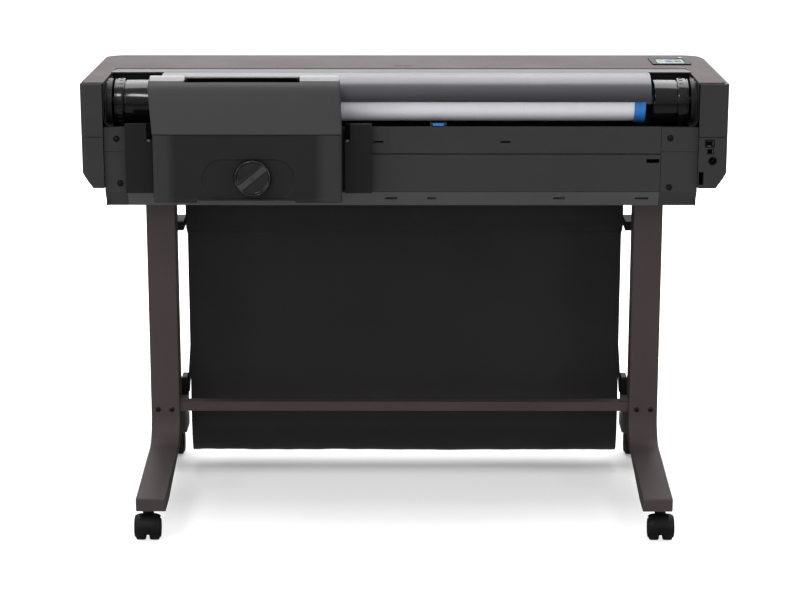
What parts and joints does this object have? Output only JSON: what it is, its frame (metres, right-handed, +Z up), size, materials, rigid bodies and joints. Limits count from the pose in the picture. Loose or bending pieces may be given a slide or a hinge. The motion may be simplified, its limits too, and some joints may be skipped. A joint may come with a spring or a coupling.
{
  "type": "large format plotter",
  "caption": "Wide roll fed inkjet plotter on a castored stand, with a hinged roll cover, rear sheet feeder, touch panel and a fabric media bin below.",
  "frame": {"origin": "on the floor, midway between the legs, 40 mm behind the leg columns", "axes": "+Z up, +Y towards the machine's front, +X to the right for a person standing behind it"},
  "size_m": [1.317, 0.6235, 0.945],
  "materials": {
    "taupe_top": "satin taupe textured plastic",
    "grey_cover": "satin grey plastic",
    "dark_body": "fine textured dark grey plastic",
    "dark_sheet": "dark grey powder coat",
    "feeder_dark": "fine textured near black plastic",
    "black_gloss": "glossy black",
    "black_matte": "matte black",
    "leg_coat": "grainy warm dark grey powder coat",
    "foot_coat": "light warm grey powder coat",
    "fabric": "black woven polyester with hems",
    "steel_rod": "drawn steel tube",
    "black_steel": "black painted steel",
    "zinc": "zinc plated sheet",
    "screw": "black oxide",
    "paper": "white coated paper",
    "blue": "blue plastic",
    "rubber": "dark grey rubber",
    "tyre_black": "hard black tread",
    "belt": "black toothed belt",
    "smoke": "smoked clear window",
    "screen": "lit display under glass",
    "tank_black": "black cartridge shells"
  },
  "bodies": {
    "machine": {"bin_fabric": "fabric", "bin_hooks": "black_matte", "bin_pivots": "black_matte", "bin_top_rod": "black_steel", "bottom_pan": "dark_sheet", "carriage_belt": "belt", "carriage_rail": "steel_rod", "control_bezel": "black_gloss", "cross_brace": "leg_coat", "feeder_body": "feeder_dark", "feeder_mount": "feeder_dark", "front_feet": "foot_coat", "front_panel": "dark_body", "ink_cartridges": "tank_black", "io_ports": "black_gloss", "left_cap_lower": "dark_body", "left_cap_upper": "dark_body", "left_leg": "leg_coat", "left_rear_bracket": "dark_body", "panel_screws": "screw", "platen": "black_matte", "rear_lower_panel": "dark_body", "rear_upper_panel": "dark_body", "right_cap_lower": "dark_body", "right_cap_upper": "dark_body", "right_leg": "leg_coat", "right_rear_bracket": "dark_body", "roll_bay": "black_matte", "side_plates": "zinc", "stand_bolts": "screw", "top_cover": "taupe_top", "touch_screen": "screen"},
    "roll_cover": {"roll_cover": "grey_cover"},
    "front_cover": {"front_cover": "smoke"},
    "ink_door": {"ink_door": "dark_body"},
    "feeder_lid": {"feeder_lid": "feeder_dark"},
    "feeder_knob": {"feeder_knob": "black_gloss"},
    "spindle": {"spindle_shaft": "steel_rod", "spindle_caps": "black_gloss", "blue_hub": "blue", "paper_roll": "paper"},
    "carriage": {"print_carriage": "black_matte"},
    "motor_pulley": {"motor_pulley": "zinc"},
    "idler_pulley": {"idler_pulley": "zinc"},
    "feed_roller": {"feed_roller": "rubber"},
    "pinch_rollers": {"pinch_rollers": "rubber"},
    "paper_lever": {"paper_lever": "blue"},
    "power_button": {"power_button": "black_gloss"},
    "bin_front": {"bin_arms": "black_steel", "bin_front_rod": "black_steel"},
    "swivel_rear_left": {"caster_hood_rear_left": "black_matte"},
    "wheels_rear_left": {"caster_wheels_rear_left": "tyre_black"},
    "brake_rear_left": {"caster_brake_rear_left": "black_matte"},
    "swivel_rear_right": {"caster_hood_rear_right": "black_matte"},
    "wheels_rear_right": {"caster_wheels_rear_right": "tyre_black"},
    "brake_rear_right": {"caster_brake_rear_right": "black_matte"},
    "swivel_front_left": {"caster_hood_front_left": "black_matte"},
    "wheels_front_left": {"caster_wheels_front_left": "tyre_black"},
    "swivel_front_right": {"caster_hood_front_right": "black_matte"},
    "wheels_front_right": {"caster_wheels_front_right": "tyre_black"}
  },
  "joints": [
    {"name": "roll_cover_hinge", "type": "hinge", "parent": "machine", "child": "roll_cover", "pos_m": [0, 0.062, 0.932], "axis": [-1, 0, 0], "range_deg": [0, 70]},
    {"name": "front_cover_hinge", "type": "hinge", "parent": "machine", "child": "front_cover", "pos_m": [0, 0.299, 0.9155], "axis": [1, 0, 0], "range_deg": [0, 70]},
    {"name": "ink_door_hinge", "type": "hinge", "parent": "machine", "child": "ink_door", "pos_m": [0.485, 0.2985, 0.6915], "axis": [-1, 0, 0], "range_deg": [0, 80]},
    {"name": "feeder_lid_hinge", "type": "hinge", "parent": "machine", "child": "feeder_lid", "pos_m": [-0.31675, -0.2375, 0.8425], "axis": [1, 0, 0], "range_deg": [0, 65]},
    {"name": "feeder_knob_turn", "type": "hinge", "parent": "machine", "child": "feeder_knob", "pos_m": [-0.306, -0.236, 0.755], "axis": [0, 1, 0], "range_deg": [0, 90]},
    {"name": "spindle_spin", "type": "hinge", "parent": "machine", "child": "spindle", "pos_m": [0, -0.102, 0.887], "axis": [1, 0, 0], "continuous": true},
    {"name": "carriage_travel", "type": "slide", "parent": "machine", "child": "carriage", "axis": [1, 0, 0], "range_m": [0, 0.88]},
    {"name": "motor_pulley_spin", "type": "hinge", "parent": "machine", "child": "motor_pulley", "pos_m": [-0.575, 0.118, 0.872], "axis": [0, 0, 1], "continuous": true},
    {"name": "idler_pulley_spin", "type": "hinge", "parent": "machine", "child": "idler_pulley", "pos_m": [0.575, 0.118, 0.872], "axis": [0, 0, 1], "continuous": true},
    {"name": "feed_roller_spin", "type": "hinge", "parent": "machine", "child": "feed_roller", "pos_m": [0, 0.07, 0.786], "axis": [1, 0, 0], "continuous": true},
    {"name": "pinch_roller_spin", "type": "hinge", "parent": "machine", "child": "pinch_rollers", "pos_m": [0, 0.07, 0.80405], "axis": [1, 0, 0], "continuous": true},
    {"name": "paper_lever_tilt", "type": "hinge", "parent": "machine", "child": "paper_lever", "pos_m": [0.069, -0.151, 0.8496], "axis": [-1, 0, 0], "range_deg": [0, 25]},
    {"name": "power_button_press", "type": "slide", "parent": "machine", "child": "power_button", "axis": [0, 0, -1], "range_m": [0, 0.0015]},
    {"name": "bin_front_swing", "type": "hinge", "parent": "machine", "child": "bin_front", "pos_m": [0, 0.126, 0.205], "axis": [1, 0, 0], "range_deg": [0, 30]},
    {"name": "swivel_rear_left_turn", "type": "hinge", "parent": "machine", "child": "swivel_rear_left", "pos_m": [-0.531, -0.268, 0.068], "axis": [0, 0, 1], "continuous": true},
    {"name": "wheels_rear_left_roll", "type": "hinge", "parent": "swivel_rear_left", "child": "wheels_rear_left", "pos_m": [-0.531, -0.282, 0.025], "axis": [1, 0, 0], "continuous": true},
    {"name": "brake_rear_left_press", "type": "hinge", "parent": "swivel_rear_left", "child": "brake_rear_left", "pos_m": [-0.531, -0.302, 0.032], "axis": [1, 0, 0], "range_deg": [0, 12]},
    {"name": "swivel_rear_right_turn", "type": "hinge", "parent": "machine", "child": "swivel_rear_right", "pos_m": [0.531, -0.268, 0.068], "axis": [0, 0, 1], "continuous": true},
    {"name": "wheels_rear_right_roll", "type": "hinge", "parent": "swivel_rear_right", "child": "wheels_rear_right", "pos_m": [0.531, -0.282, 0.025], "axis": [1, 0, 0], "continuous": true},
    {"name": "brake_rear_right_press", "type": "hinge", "parent": "swivel_rear_right", "child": "brake_rear_right", "pos_m": [0.531, -0.302, 0.032], "axis": [1, 0, 0], "range_deg": [0, 12]},
    {"name": "swivel_front_left_turn", "type": "hinge", "parent": "machine", "child": "swivel_front_left", "pos_m": [-0.531, 0.268, 0.068], "axis": [0, 0, 1], "continuous": true},
    {"name": "wheels_front_left_roll", "type": "hinge", "parent": "swivel_front_left", "child": "wheels_front_left", "pos_m": [-0.531, 0.282, 0.025], "axis": [1, 0, 0], "continuous": true},
    {"name": "swivel_front_right_turn", "type": "hinge", "parent": "machine", "child": "swivel_front_right", "pos_m": [0.531, 0.268, 0.068], "axis": [0, 0, 1], "continuous": true},
    {"name": "wheels_front_right_roll", "type": "hinge", "parent": "swivel_front_right", "child": "wheels_front_right", "pos_m": [0.531, 0.282, 0.025], "axis": [1, 0, 0], "continuous": true}
  ],
  "couplings": [
    {"joint": "motor_pulley_spin", "follows": "carriage_travel", "rad_per_m": -124.2},
    {"joint": "idler_pulley_spin", "follows": "carriage_travel", "rad_per_m": -124.2},
    {"joint": "pinch_roller_spin", "follows": "feed_roller_spin", "ratio": -2}
  ]
}
